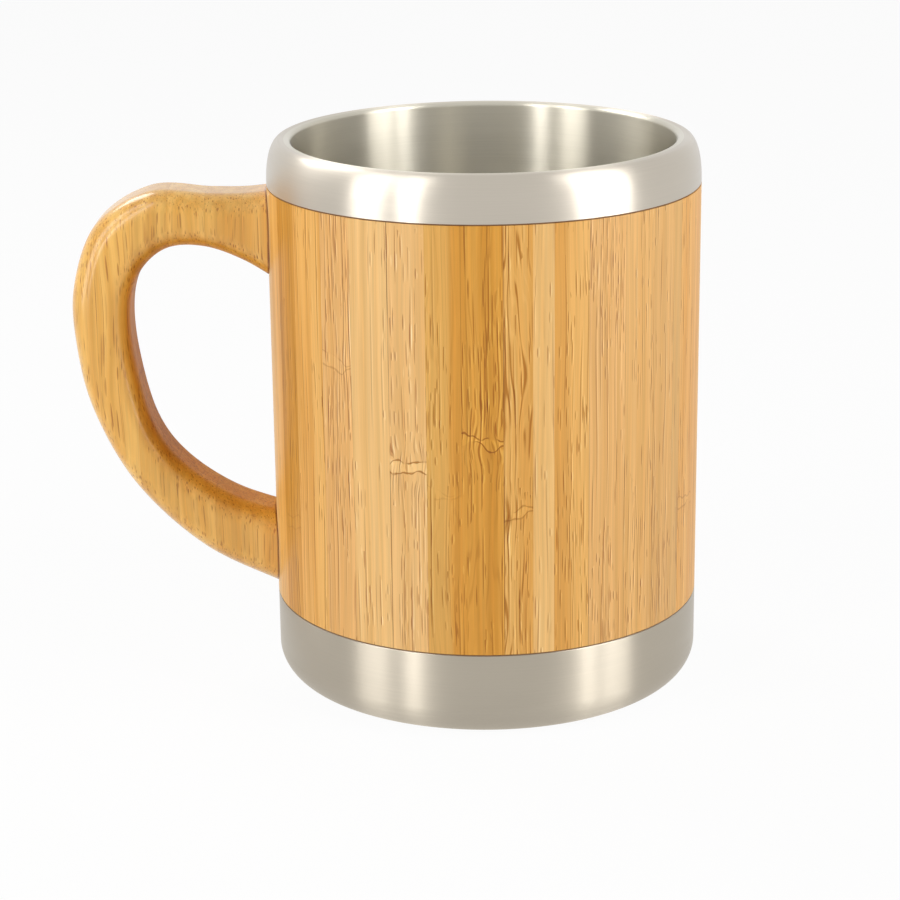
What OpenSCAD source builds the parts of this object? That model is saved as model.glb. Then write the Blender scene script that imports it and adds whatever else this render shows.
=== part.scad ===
// Cup with a steel liner, a sleeve of bamboo staves and a laminated bamboo handle.
// Millimetres. The origin is on the axis in the plane of the table, +Z is up and the handle is at -X.

/* [Cup] */
// Outside diameter of the sleeve and of both steel ends
mug_d = 86; // [70:1:110]
// Height from the table to the crest of the lip
mug_h = 110.5; // [95:0.5:150]
// Height of the steel band above its joint with the bamboo
rim_band_h = 8.8; // [7:0.1:14]
// Height of the steel base below its joint with the bamboo
base_h = 17.5; // [14:0.5:24]

/* [Steel] */
// Thickness of the steel sheet
sheet_t = 0.6; // [0.4:0.05:0.8]
// Outer radius of the turn of the lip
lip_r = 0.8; // [0.7:0.05:0.85]
// Width of the weld flange beyond the turn of the lip
lip_flange_w = 0.6; // [0.3:0.05:0.8]
// Width across the rounded shoulder of the rim band
shoulder_w = 2.9; // [2:0.1:3.2]
// Radius of the corner of the base
base_corner_r = 6.2; // [3:0.1:7]
// Width of the flat ring that the cup stands on
foot_ring_w = 7; // [4:0.5:12]
// Depth of the raised middle of the base
foot_recess = 0.8; // [0.4:0.1:1.5]
// Radial width of the slope up to the raised middle
foot_slope_w = 1.6; // [0.8:0.1:3]
// Air space between the liner's floor and the middle of the base
floor_gap = 5; // [2:0.5:10]
// Inner radius of the liner's bottom corner
liner_corner_r = 8; // [3:0.5:12]

/* [Bamboo sleeve] */
// Thickness of the staves
stave_t = 3.8; // [3:0.1:5]
// Air space between the liner and the staves
air_gap = 0.6; // [0.4:0.05:1.5]
// Height of the turned spigot inside the rim band
upper_spigot_h = 4; // [2:0.5:4.5]
// Height of the turned spigot inside the base
lower_spigot_h = 8; // [3:0.5:9]
// Radial clearance between a spigot and its steel
spigot_gap = 0.15; // [0.1:0.05:0.3]
// Height of each sealant ring
seal_t = 0.3; // [0.2:0.05:0.5]
// Depth of each sealant ring below the outer surface
seal_recess = 0.1; // [0.05:0.05:0.2]

/* [Handle] */
// Reach of the handle beyond the sleeve
handle_reach = 39.5; // [30:0.5:50]
// Height left between the rim band and the highest corner of the handle
handle_top_gap = 1.2; // [0.8:0.1:6]
// Height left between the steel base and the lowest corner of the handle
handle_foot_gap = 1; // [0.5:0.1:10]
// Depth of the handle's board
handle_depth = 15.5; // [12:0.5:20]
// Radius of the handle's rounded edges
handle_edge_r = 4.6; // [2:0.1:6]
// Width of the strips in the handle's board
handle_strip_w = 7.4; // [6.8:0.1:8]
// Width left of the first strip where the handle meets the sleeve
first_strip_w = 4.5; // [3:0.1:6]
// Thickness of the glue between the handle and the sleeve
glue_t = 0.05; // [0.03:0.01:0.15]

/* [Screws] */
// Diameter of the screw shanks
screw_d = 3; // [2.5:0.1:4]
// Diameter of the countersunk heads
screw_head_d = 5.8; // [5:0.1:7]
// Height of the cone under a head
screw_cone_h = 1.5; // [1:0.1:2]
// Length of the screws, head included
screw_l = 15; // [11:0.5:18]
// Length of a screw's point
screw_point_l = 3; // [2:0.5:4]
// Width of the slots of a cross recess
recess_w = 0.8; // [0.6:0.1:1]
// Length of the slots of a cross recess
recess_l = 3; // [2:0.1:4]
// Depth of a cross recess
recess_depth = 1; // [0.5:0.1:1.2]
// Radial clearance of a screw in its hole
screw_gap = 0.1; // [0.05:0.05:0.2]

/* [Hidden] */

mug_r = mug_d / 2;
joint_upper = mug_h - rim_band_h;
joint_lower = base_h;
sleeve_in_r = mug_r - stave_t;
liner_out_r = sleeve_in_r - air_gap;
mouth_r = liner_out_r - sheet_t;
seam_r = mouth_r + lip_r + lip_flange_w;
// The shoulder's curve rises over the whole band and is a little squarer than an ellipse
shoulder_h = rim_band_h - seal_t / 2;
shoulder_exponent = 2.24;
lower_spigot_r = mug_r - sheet_t - spigot_gap;
upper_spigot_r = shoulder_r(upper_spigot_h) - sheet_t - spigot_gap;
foot_out_r = mug_r - base_corner_r;
foot_in_r = foot_out_r - foot_ring_w;
raised_r = foot_in_r - foot_slope_w;
liner_floor_z = foot_recess + sheet_t + floor_gap + sheet_t;
// The handle fills the bamboo's height between the two steel ends, apart from its two gaps
handle_low = joint_lower + handle_foot_gap;
handle_h = joint_upper - handle_top_gap - handle_low;

curve_steps = 16;
$fn = 96;
// How far a cutting solid runs past what it cuts
overrun = 1;

// Widths of the staves round the sleeve, as shares of the circle. The first carries the handle, and the
// next ones run from it past the front of the cup.
stave_width_shares = [
    12, 8, 8, 10, 12, 10, 11, 10, 9, 10.5, 7.5, 5.5, 9.5, 11, 9.5, 10, 4, 10.5,
    9, 10, 11, 10, 9.5, 12, 10, 10, 11.5, 12.5, 10, 10.5, 11.5, 11.5, 9.5, 12, 10.5, 11
];
STAVES = len(stave_width_shares);

// Tone of each stave in the same order, as a place in the list of tones
stave_tones = [
    1, 0, 0, 2, 1, 3, 0, 0, 1, 2, 1, 0, 2, 3, 3, 3, 0, 1,
    1, 0, 2, 3, 1, 0, 1, 2, 0, 3, 1, 2, 0, 1, 3, 1, 2, 0
];
TONES = [
    [0.93, 0.76, 0.50], [0.90, 0.68, 0.38], [0.84, 0.60, 0.28], [0.87, 0.66, 0.42]
];

// Stations of the handle from its upper root to its lower one. Each has the outer and the inner point of the
// outline, outwards as a share of the reach and upwards as a share of the height.
grip_shares = [
    [[-0.08, 1.005], [-0.08, 0.77]],
    [[0.10, 0.995], [0.12, 0.83]],
    [[0.29, 0.995], [0.32, 0.865]],
    [[0.59, 1.00], [0.51, 0.86]],
    [[0.86, 0.92], [0.65, 0.80]],
    [[0.984, 0.77], [0.705, 0.71]],
    [[0.987, 0.62], [0.69, 0.58]],
    [[0.912, 0.45], [0.61, 0.42]],
    [[0.71, 0.262], [0.465, 0.317]],
    [[0.365, 0.099], [0.22, 0.233]],
    [[-0.08, -0.01], [-0.08, 0.18]]
];
steps_per_station = 4;
steps_per_edge = 5;
STRIPS = 1 + ceil((handle_reach - first_strip_w) / handle_strip_w);

// Heights of the screws as shares of the handle's height
upper_screw_share = 0.895;
lower_screw_share = 0.1;
upper_screw_z = handle_low + upper_screw_share * handle_h;
lower_screw_z = handle_low + lower_screw_share * handle_h;
// The heads lie this far below the sleeve's inner surface
head_sink = 0.3;
head_r = sleeve_in_r + head_sink;

function two_digits(n) = n < 10 ? str("0", n) : str(n);

// Points on an arc about a centre, from one angle to another
function arc(centre, r, from, to) =
    [for (i = [0:curve_steps])
        let (a = from + (to - from) * i / curve_steps)
        centre + r * [cos(a), sin(a)]];

// Sum of the first n shares
function sum_to(shares, n) = n == 0 ? 0 : shares[n - 1] + sum_to(shares, n - 1);

// Drawn steel cup. Its lip turns outwards over a small radius into a flat weld flange.
module liner() {
    corner = [mouth_r - liner_corner_r, liner_floor_z + liner_corner_r];
    turn = [mouth_r + lip_r, mug_h - lip_r];
    color("lightgray")
        rotate_extrude()
            polygon(concat(
                [[0, liner_floor_z]],
                arc(corner, liner_corner_r, -90, 0),
                arc(turn, lip_r, 180, 90),
                [[seam_r, mug_h], [seam_r, mug_h - sheet_t]],
                arc(turn, lip_r - sheet_t, 90, 180),
                arc(corner, liner_corner_r + sheet_t, 0, -90),
                [[0, liner_floor_z - sheet_t]]
            ));
}

// The shoulder's outer curve, from the joint with the bamboo at 0 degrees to the top of the rim at 90
function shoulder(a) = [
    mug_r - shoulder_w + shoulder_w * pow(cos(a), 2 / shoulder_exponent),
    mug_h - shoulder_h + shoulder_h * pow(sin(a), 2 / shoulder_exponent)
];

// Outward direction of that curve
function shoulder_normal(a) =
    let (n = [
        pow(cos(a), 2 - 2 / shoulder_exponent) / shoulder_w,
        pow(sin(a), 2 - 2 / shoulder_exponent) / shoulder_h
    ])
    n / norm(n);

// Radius of that curve at a height above the band's lower edge
function shoulder_r(h) =
    mug_r - shoulder_w
        + shoulder_w * pow(1 - pow(h / shoulder_h, shoulder_exponent), 1 / shoulder_exponent);

// Spun steel band, welded to the flange of the lip and closed down over the upper spigot
module rim_band() {
    angles = [for (i = [0:curve_steps]) 90 * i / curve_steps];
    color("silver")
        rotate_extrude()
            polygon(concat(
                [for (a = angles) shoulder(a)],
                [[seam_r, mug_h], [seam_r, mug_h - sheet_t]],
                [for (i = [curve_steps:-1:0]) shoulder(angles[i]) - sheet_t * shoulder_normal(angles[i])]
            ));
}

// Drawn steel cup over the lower spigot. It stands on a flat ring round a raised middle.
module base_cup() {
    corner = [foot_out_r, base_corner_r];
    rim_z = joint_lower - seal_t / 2;
    color("darkgray")
        rotate_extrude()
            polygon(concat(
                [[0, foot_recess], [raised_r, foot_recess], [foot_in_r, 0]],
                arc(corner, base_corner_r, -90, 0),
                [[mug_r, rim_z], [mug_r - sheet_t, rim_z]],
                arc(corner, base_corner_r - sheet_t, 0, -90),
                [[foot_in_r, sheet_t], [raised_r, foot_recess + sheet_t], [0, foot_recess + sheet_t]]
            ));
}

// Ring of dark sealant in the joint between steel and bamboo
module seal(joint_z, spigot_r) {
    color([0.25, 0.16, 0.08])
        translate([0, 0, joint_z - seal_t / 2])
            rotate_extrude()
                translate([spigot_r, 0])
                    square([mug_r - seal_recess - spigot_r, seal_t]);
}

// Cross-section of a stave: a long wall with a turned spigot at each end
module stave_section() {
    low = joint_lower + seal_t / 2;
    high = joint_upper - seal_t / 2;
    polygon([
        [sleeve_in_r, low - lower_spigot_h],
        [lower_spigot_r, low - lower_spigot_h],
        [lower_spigot_r, low],
        [mug_r, low],
        [mug_r, high],
        [upper_spigot_r, high],
        [upper_spigot_r, high + upper_spigot_h],
        [sleeve_in_r, high + upper_spigot_h]
    ]);
}

// One stave of the sleeve. The first is centred on the handle and is drilled for the screws.
module stave(i) {
    total = sum_to(stave_width_shares, STAVES);
    width = 360 * stave_width_shares[i - 1] / total;
    start = 180 + 360 * (sum_to(stave_width_shares, i - 1) - stave_width_shares[0] / 2) / total;
    color(TONES[stave_tones[i - 1]])
        difference() {
            rotate([0, 0, start])
                rotate_extrude(angle = width)
                    stave_section();
            if (i == 1) {
                screw_hole(upper_screw_z);
                screw_hole(lower_screw_z);
            }
        }
}

// Countersunk clearance hole through the sleeve and the pilot hole beyond it in the handle
module screw_hole(z) {
    translate([-head_r, 0, z])
        rotate([0, -90, 0]) {
            translate([0, 0, -head_sink - overrun])
                cylinder(d = screw_head_d + 2 * screw_gap, h = head_sink + overrun);
            cylinder(
                d1 = screw_head_d + 2 * screw_gap,
                d2 = screw_d + 2 * screw_gap,
                h = screw_cone_h
            );
            cylinder(d = screw_d + 2 * screw_gap, h = screw_l + screw_gap);
        }
}

// Countersunk wood screw with a cross recess, driven outwards along -X
module screw(z) {
    color("goldenrod")
        translate([-head_r, 0, z])
            rotate([0, -90, 0])
                difference() {
                    union() {
                        cylinder(d1 = screw_head_d, d2 = screw_d, h = screw_cone_h);
                        cylinder(d = screw_d, h = screw_l - screw_point_l);
                        translate([0, 0, screw_l - screw_point_l])
                            cylinder(d1 = screw_d, d2 = 0, h = screw_point_l);
                    }
                    for (turn = [0, 90])
                        rotate([0, 0, turn])
                            translate([-recess_l / 2, -recess_w / 2, -overrun])
                                cube([recess_l, recess_w, recess_depth + overrun]);
                }
}

// A station of the handle in millimetres: [outer x, outer z, inner x, inner z]
function station(i) =
    let (s = grip_shares[i])
    [
        -mug_r - handle_reach * s[0][0], handle_low + handle_h * s[0][1],
        -mug_r - handle_reach * s[1][0], handle_low + handle_h * s[1][1]
    ];
LAST = len(grip_shares) - 1;

// The ends of the table are carried on in a straight line for the curve through its stations
function knot(i) =
    i < 0 ? 2 * station(0) - station(1)
    : i > LAST ? 2 * station(LAST) - station(LAST - 1)
    : station(i);

// Smooth curve through the stations, a cubic between each two of them
function through(i, t) =
    let (a = knot(i - 1), b = knot(i), c = knot(i + 1), d = knot(i + 2))
    (2 * b + (c - a) * t + (2 * a - 5 * b + 4 * c - d) * t * t + (3 * b - a - 3 * c + d) * t * t * t) / 2;

// Ring of points round the grip: a rectangle with rounded corners, from the outer to the inner point
function ring(s) =
    let (
        outer = [s[0], 0, s[1]],
        inner = [s[2], 0, s[3]],
        half = norm(outer - inner) / 2,
        across = (outer - inner) / (2 * half),
        deep = [0, 1, 0],
        r = min(handle_edge_r, 0.95 * half, 0.95 * handle_depth / 2)
    )
    [for (corner = [[1, 1], [-1, 1], [-1, -1], [1, -1]], i = [0:steps_per_edge])
        let (
            quarter = corner[0] > 0 ? (corner[1] > 0 ? 0 : 3) : (corner[1] > 0 ? 1 : 2),
            a = 90 * (quarter + i / steps_per_edge)
        )
        (outer + inner) / 2
            + (corner[0] * (half - r) + r * cos(a)) * across
            + (corner[1] * (handle_depth / 2 - r) + r * sin(a)) * deep];

// The whole grip, lofted through rings along the curve
module grip() {
    rings = concat(
        [for (i = [0:LAST - 1], k = [0:steps_per_station - 1]) ring(through(i, k / steps_per_station))],
        [ring(station(LAST))]
    );
    n = len(rings[0]);
    m = len(rings);
    sides = [for (j = [0:m - 2], i = [0:n - 1])
        each [
            [j * n + i, j * n + (i + 1) % n, (j + 1) * n + i],
            [(j + 1) * n + i, j * n + (i + 1) % n, (j + 1) * n + (i + 1) % n]
        ]];
    first_end = [for (i = [0:n - 1]) n - 1 - i];
    last_end = [for (i = [0:n - 1]) (m - 1) * n + i];
    polyhedron(points = [for (r = rings) each r], faces = concat(sides, [first_end, last_end]));
}

// One strip of the handle's board, shaped with the rest of the grip and coped to the sleeve
module handle_strip(i) {
    near = i == 1 ? 0 : first_strip_w + (i - 2) * handle_strip_w;
    far = i == STRIPS ? handle_reach + overrun : first_strip_w + (i - 1) * handle_strip_w;
    back = i == 1 ? mug_r : 0;
    color(TONES[i % 2])
        difference() {
            intersection() {
                grip();
                translate([-mug_r - far, -handle_depth, 0])
                    cube([far - near + back, 2 * handle_depth, mug_h + overrun]);
            }
            cylinder(r = mug_r + glue_t, h = mug_h + overrun);
            screw_hole(upper_screw_z);
            screw_hole(lower_screw_z);
        }
}

liner();
rim_band();
base_cup();
seal(joint_upper, upper_spigot_r);  // upper_seal
seal(joint_lower, lower_spigot_r);  // lower_seal
screw(upper_screw_z);  // upper_screw
screw(lower_screw_z);  // lower_screw
for (i = [1:STAVES])
    stave(i);
for (i = [1:STRIPS])
    handle_strip(i);
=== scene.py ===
"""A bamboo cup: a steel liner in a sleeve of upright bamboo staves, a steel band and a steel base, and a handle
of laminated bamboo. Metres. The origin is on the axis in the plane of the table, +Z is up and the handle is at -X.
"""

import bmesh
import bpy
import numpy as np
from mathutils import Matrix, Vector


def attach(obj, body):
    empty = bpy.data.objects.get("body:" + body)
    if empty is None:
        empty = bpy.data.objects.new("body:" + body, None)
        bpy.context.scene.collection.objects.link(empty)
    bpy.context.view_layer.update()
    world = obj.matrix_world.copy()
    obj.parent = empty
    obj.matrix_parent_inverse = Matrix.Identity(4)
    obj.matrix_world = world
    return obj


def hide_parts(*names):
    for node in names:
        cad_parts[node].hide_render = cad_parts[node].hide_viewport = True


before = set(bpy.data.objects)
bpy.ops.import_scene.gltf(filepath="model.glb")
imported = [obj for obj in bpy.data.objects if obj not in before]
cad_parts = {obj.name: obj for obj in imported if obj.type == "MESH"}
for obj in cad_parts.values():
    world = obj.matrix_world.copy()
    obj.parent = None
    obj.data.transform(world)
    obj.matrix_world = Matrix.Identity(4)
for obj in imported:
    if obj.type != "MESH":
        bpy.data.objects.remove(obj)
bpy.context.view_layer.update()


# ---- Liner
# The cup that holds the drink, drawn from thin stainless sheet and brushed round and round inside. Its lip turns
# outwards over a small radius into the flange that is welded to the rim band.

SHEET = 0.0006
MUG_TOP = 0.1105
MOUTH_RADIUS = 0.0380
LINER_FLOOR = 0.0070
LINER_CORNER = 0.0080
LIP_TURN = 0.0008
WELD_RADIUS = 0.0394
# The radii and the heights of the rows of faces on the flat floor and on the straight wall
FLOOR_ROWS = (0, 0.010, 0.020)
WALL_ROWS = (0.03, 0.05, 0.07, 0.09, 0.1)
STEPS_ROUND = 256
# The bend between two faces, in degrees, from which their edge is a sharp one
SHARP_BEND = 32
# The brushing's noise in waves per metre, in X, in Y and along the profile
STROKES, SCRATCHES, CLOUDS = (40, 40, 3200), (90, 90, 11000), (28, 28, 90)


def arc(centre, radius, start, end, steps=14):
    """Points in the plane of radius and height: the centre plus the radius at equal steps of angle, in degrees."""
    a = np.radians(np.linspace(start, end, steps + 1))
    return np.column_stack([centre[0] + radius * np.cos(a), centre[1] + radius * np.sin(a)])


def skin(name, points, blocks, corner_uv, uv_name, corner_normals=None):
    """A closed mesh from points and blocks of faces, each block an array of faces with the same number of corners.
    The corner arrays match the blocks. If the signed volume, a sixth of the sum of a.(b x c) over the triangles,
    is negative, every face is turned over."""
    points = np.asarray(points, float)
    volume = 0.0
    for faces in blocks:
        for k in range(1, faces.shape[1] - 1):
            a, b, c = points[faces[:, 0]], points[faces[:, k]], points[faces[:, k + 1]]
            volume += np.einsum("ij,ij->", a, np.cross(b, c))
    if volume < 0:
        blocks = [faces[:, ::-1] for faces in blocks]
        corner_uv = [uv[:, ::-1] for uv in corner_uv]
        corner_normals = corner_normals and [n[:, ::-1] for n in corner_normals]
    mesh = bpy.data.meshes.new(name)
    mesh.from_pydata(points.tolist(), [], [face for faces in blocks for face in faces.tolist()])
    layer = mesh.uv_layers.new(name=uv_name)
    layer.data.foreach_set("uv", np.concatenate([uv.ravel() for uv in corner_uv]).astype(np.float32))
    mesh.shade_smooth()
    mesh.set_sharp_from_angle(angle=np.radians(SHARP_BEND))
    if corner_normals:
        mesh.normals_split_custom_set(np.concatenate([n.reshape(-1, 3) for n in corner_normals]))
    piece = bpy.data.objects.new(name, mesh)
    bpy.context.scene.collection.objects.link(piece)
    return piece


def spun(name, profile):
    """A surface of revolution: the profile's point (r, z) at angle a goes to (r cos a, r sin a, z). A profile that
    starts and ends on the axis closes there in two fans of triangles, and any other is a closed loop. The UV map
    has the length along the profile and the share of the turn."""
    profile = np.asarray(profile)
    capped = profile[0, 0] == 0
    loop = profile if capped else np.vstack([profile, profile[:1]])
    length = np.append(0, np.cumsum(np.hypot(*np.diff(loop, axis=0).T)))
    rows = profile[1:-1] if capped else profile
    along = length[1:-1] if capped else length
    m, n = len(rows), STEPS_ROUND
    a = np.linspace(0, 2 * np.pi, n, endpoint=False)
    points = np.stack([np.outer(rows[:, 0], np.cos(a)), np.outer(rows[:, 0], np.sin(a)),
                       np.outer(rows[:, 1], np.ones(n))], -1).reshape(-1, 3)
    j, i = (k.ravel() for k in np.meshgrid(np.arange(m - capped), np.arange(n), indexing="ij"))
    after, above = (i + 1) % n, (j + 1) % m
    blocks = [np.stack([j * n + i, j * n + after, above * n + after, above * n + i], -1)]
    corners = [np.stack([np.stack([along[j], along[j], along[j + 1], along[j + 1]], -1),
                         np.stack([i, i + 1, i + 1, i], -1) / n], -1)]
    if capped:
        i, last = np.arange(n), (m - 1) * n
        turn = np.stack([i + 0.5, i + 1, i], -1) / n
        points = np.vstack([points, [[0, 0, profile[0, 1]], [0, 0, profile[-1, 1]]]])
        blocks.append(np.stack([np.full(n, m * n), (i + 1) % n, i], -1))
        blocks.append(np.stack([np.full(n, m * n + 1), last + i, last + (i + 1) % n], -1))
        corners.append(np.stack([np.tile([0, length[1], length[1]], (n, 1)), turn], -1))
        corners.append(np.stack([np.tile([length[-1], length[-2], length[-2]], (n, 1)), turn[:, [0, 2, 1]]], -1))
    return skin(name, points, blocks, corners, "brushing")


def put(tree, kind, inputs=None, **settings):
    """A shader node with its settings, and its inputs given as values or as the outputs of other nodes."""
    made = tree.nodes.new("ShaderNode" + kind)
    for name, value in settings.items():
        setattr(made, name, value)
    for name, value in (inputs or {}).items():
        if isinstance(value, bpy.types.NodeSocket):
            tree.links.new(value, made.inputs[name])
        else:
            made.inputs[name].default_value = value
    return made


def calc(tree, operation, *terms):
    """The result of one sum on numbers or outputs, such as ADD, MULTIPLY or ABSOLUTE."""
    return put(tree, "Math", dict(enumerate(terms)), operation=operation).outputs[0]


def ramp(tree, value, low, high, bottom=0.0, top=1.0):
    """A smooth step of a value, from bottom at low to top at high: at a share s of the way from low to high it has
    gone 3 s squared minus 2 s cubed of the way."""
    return put(tree, "MapRange", {"Value": value, "From Min": low, "From Max": high, "To Min": bottom, "To Max": top},
               interpolation_type="SMOOTHSTEP").outputs["Result"]


def speckle(tree, place, scale, shift=0.0, detail=1.0):
    """Noise from 0 to 1 on a place that is stretched by a scale for each axis. A shift along the third axis takes
    another part of the noise, so that no two patterns repeat each other."""
    moved = put(tree, "VectorMath", {0: place, 1: scale, 2: (0, 0, shift)}, operation="MULTIPLY_ADD").outputs[0]
    return put(tree, "TexNoise", {"Vector": moved, "Scale": 1.0, "Detail": detail}).outputs["Fac"]


def shaded(tree, colour, shade):
    """A colour times a number."""
    return put(tree, "VectorMath", {0: colour, "Scale": shade}, operation="SCALE").outputs[0]


def paint(name):
    """A new material with its node tree and its shader."""
    material = bpy.data.materials.new(name)
    material.use_nodes = True
    return material, material.node_tree, material.node_tree.nodes["Principled BSDF"]


def brushed_steel(name, colour, roughness, spread, scratch_depth):
    """Stainless steel brushed round and round. Noise that runs slowly in X and Y and fast along the profile draws
    out into scratches round the cup, which change the tone, the roughness and the bump. The highlight spreads
    across them, along the profile."""
    material, tree, steel = paint(name)
    spot = put(tree, "SeparateXYZ", {0: put(tree, "TexCoord").outputs["Object"]})
    along = put(tree, "SeparateXYZ", {0: put(tree, "UVMap", uv_map="brushing").outputs[0]}).outputs["X"]
    place = put(tree, "CombineXYZ", {"X": spot.outputs["X"], "Y": spot.outputs["Y"], "Z": along}).outputs[0]
    strokes = speckle(tree, place, STROKES, detail=2.5)
    scratches = speckle(tree, place, SCRATCHES, 7)
    clouds = speckle(tree, place, CLOUDS, 3)
    both = calc(tree, "ADD", calc(tree, "MULTIPLY", strokes, 0.5), calc(tree, "MULTIPLY", scratches, 0.5))
    shade = calc(tree, "MULTIPLY", ramp(tree, both, 0.25, 0.75, 0.96, 1.03), ramp(tree, clouds, 0.3, 0.7, 0.98, 1.02))
    tree.links.new(shaded(tree, colour, shade), steel.inputs["Base Color"])
    tree.links.new(ramp(tree, both, 0.2, 0.8, roughness - 0.05, roughness + 0.06), steel.inputs["Roughness"])
    steel.inputs["Metallic"].default_value = 1.0
    steel.inputs["Anisotropic"].default_value = spread
    tree.links.new(put(tree, "Tangent", direction_type="UV_MAP", uv_map="brushing").outputs[0], steel.inputs["Tangent"])
    bump = put(tree, "Bump", {"Height": both, "Strength": 0.15, "Distance": scratch_depth})
    tree.links.new(bump.outputs[0], steel.inputs["Normal"])
    return material


turned_lip = (MOUTH_RADIUS + LIP_TURN, MUG_TOP - LIP_TURN)
floor_corner = (MOUTH_RADIUS - LINER_CORNER, LINER_FLOOR + LINER_CORNER)
liner = spun("brushed_liner", np.vstack([
    [[r, LINER_FLOOR] for r in FLOOR_ROWS],
    arc(floor_corner, LINER_CORNER, -90, 0, steps=24),
    [[MOUTH_RADIUS, z] for z in WALL_ROWS],
    arc(turned_lip, LIP_TURN, 180, 90),
    [[WELD_RADIUS, MUG_TOP], [WELD_RADIUS, MUG_TOP - SHEET]],
    arc(turned_lip, LIP_TURN - SHEET, 90, 180),
    arc(floor_corner, LINER_CORNER + SHEET, 0, -90, steps=24),
    [[0, LINER_FLOOR - SHEET]],
]))
liner.data.materials.append(
    brushed_steel("liner_steel", (0.625, 0.59, 0.50), roughness=0.34, spread=1.0, scratch_depth=0.000008))
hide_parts("liner")
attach(liner, "root")


# ---- Rim band
# A ring spun from stainless sheet. It is welded to the lip's flange, ground flush and given a fine satin finish,
# and it closes down over the upper end of the bamboo.

MUG_RADIUS = 0.0430
UPPER_JOINT = 0.1017
SEAL = 0.0003
SHOULDER = 0.0029
SHOULDER_RISE = MUG_TOP - UPPER_JOINT - SEAL / 2
SHOULDER_POWER = 2.24
SHOULDER_STEPS = 56

# The shoulder is a superellipse: the cosine and the sine of an angle, each to the power of 2 / SHOULDER_POWER,
# times the width and the rise. The inner face lies one sheet inwards along the superellipse's normal.
a = np.radians(np.linspace(0, 90, SHOULDER_STEPS + 1))
exponent = 2 / SHOULDER_POWER
outer = np.column_stack([MUG_RADIUS - SHOULDER + SHOULDER * np.cos(a) ** exponent,
                         MUG_TOP - SHOULDER_RISE + SHOULDER_RISE * np.sin(a) ** exponent])
across = np.column_stack([np.cos(a) ** (2 - exponent) / SHOULDER, np.sin(a) ** (2 - exponent) / SHOULDER_RISE])
inner = outer - SHEET * across / np.linalg.norm(across, axis=1)[:, None]
rim_band = spun("rim_band_shell", np.vstack([outer, [[WELD_RADIUS, MUG_TOP], [WELD_RADIUS, MUG_TOP - SHEET]],
                                             inner[::-1]]))
rim_band.data.materials.append(
    brushed_steel("band_steel", (0.58, 0.53, 0.455), roughness=0.37, spread=0.96, scratch_depth=0.000003))
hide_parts("rim_band")
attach(rim_band, "root")


# ---- Base cup
# A shallow cup drawn from stainless sheet over the lower end of the bamboo. Its wall is brushed, its corner is
# rounded, and it stands on a flat ring round a raised middle.

LOWER_JOINT = 0.0175
BASE_CORNER = 0.0062
FOOT_RECESS = 0.0008
FOOT_WIDTH = 0.0070
FOOT_SLOPE = 0.0016
FOOT_OUTER = MUG_RADIUS - BASE_CORNER
FOOT_INNER = FOOT_OUTER - FOOT_WIDTH
# The radii of the rows of faces on the raised middle
RAISED_ROWS = (0, 0.012, FOOT_INNER - FOOT_SLOPE)
CUT_EDGE = 0.00018

base_rim = LOWER_JOINT - SEAL / 2
base_corner = (FOOT_OUTER, BASE_CORNER)
base_cup = spun("base_cup_shell", np.vstack([
    [[r, FOOT_RECESS] for r in RAISED_ROWS], [[FOOT_INNER, 0]],
    arc(base_corner, BASE_CORNER, -90, 0, steps=36),
    arc((MUG_RADIUS - CUT_EDGE, base_rim - CUT_EDGE), CUT_EDGE, 0, 90, steps=6),
    [[MUG_RADIUS - SHEET, base_rim]],
    arc(base_corner, BASE_CORNER - SHEET, 0, -90, steps=36),
    [[FOOT_INNER, SHEET], [RAISED_ROWS[-1], FOOT_RECESS + SHEET], [0, FOOT_RECESS + SHEET]],
]))
base_cup.data.materials.append(
    brushed_steel("base_steel", (0.49, 0.44, 0.36), roughness=0.38, spread=1.0, scratch_depth=0.000005))
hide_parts("base_cup")
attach(base_cup, "root")


# ---- Sealant rings
# Thin rings of dark sealant, laid in the joints between the steel and the bamboo before the cup is pressed
# together. Only their edges show, as a dark line.

# The radii of the bamboo's two spigots, on which the rings lie
UPPER_SPIGOT = 0.0420
LOWER_SPIGOT = 0.04225
# The edge stays just inside the cup's wall, and bulges in the middle
SEAL_EDGE = MUG_RADIUS - 0.0001
SEAL_BULGE = 0.0001


def mixed(tree, share, first, second):
    """The colour at a share of the way from the first to the second."""
    return put(tree, "Mix", {"Factor": share, "A": (*first, 1), "B": (*second, 1)},
               data_type="RGBA").outputs["Result"]


sealant, tree, rubber = paint("dark_sealant")
grime = speckle(tree, put(tree, "TexCoord").outputs["Object"], (900, 900, 3000), detail=3)
tree.links.new(mixed(tree, grime, (0.20, 0.105, 0.045), (0.34, 0.19, 0.09)), rubber.inputs["Base Color"])
rubber.inputs["Roughness"].default_value = 0.7
for name, node, joint, spigot in (("upper_sealant", "upper_seal", UPPER_JOINT, UPPER_SPIGOT),
                                  ("lower_sealant", "lower_seal", LOWER_JOINT, LOWER_SPIGOT)):
    low, high = joint - SEAL / 2, joint + SEAL / 2
    ring = spun(name, [[spigot, low], [SEAL_EDGE - SEAL_BULGE, low], [SEAL_EDGE, joint],
                       [SEAL_EDGE - SEAL_BULGE, high], [spigot, high]])
    ring.data.materials.append(sealant)
    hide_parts(node)
    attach(ring, "root")


# ---- Staves
# 36 upright strips of bamboo, glued edge to edge into a tube, turned on a lathe and lacquered. A spigot is turned
# at each end for the steel. Each was cut from another stem, so tone, fibres and knuckle change from one to the next.

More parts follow.
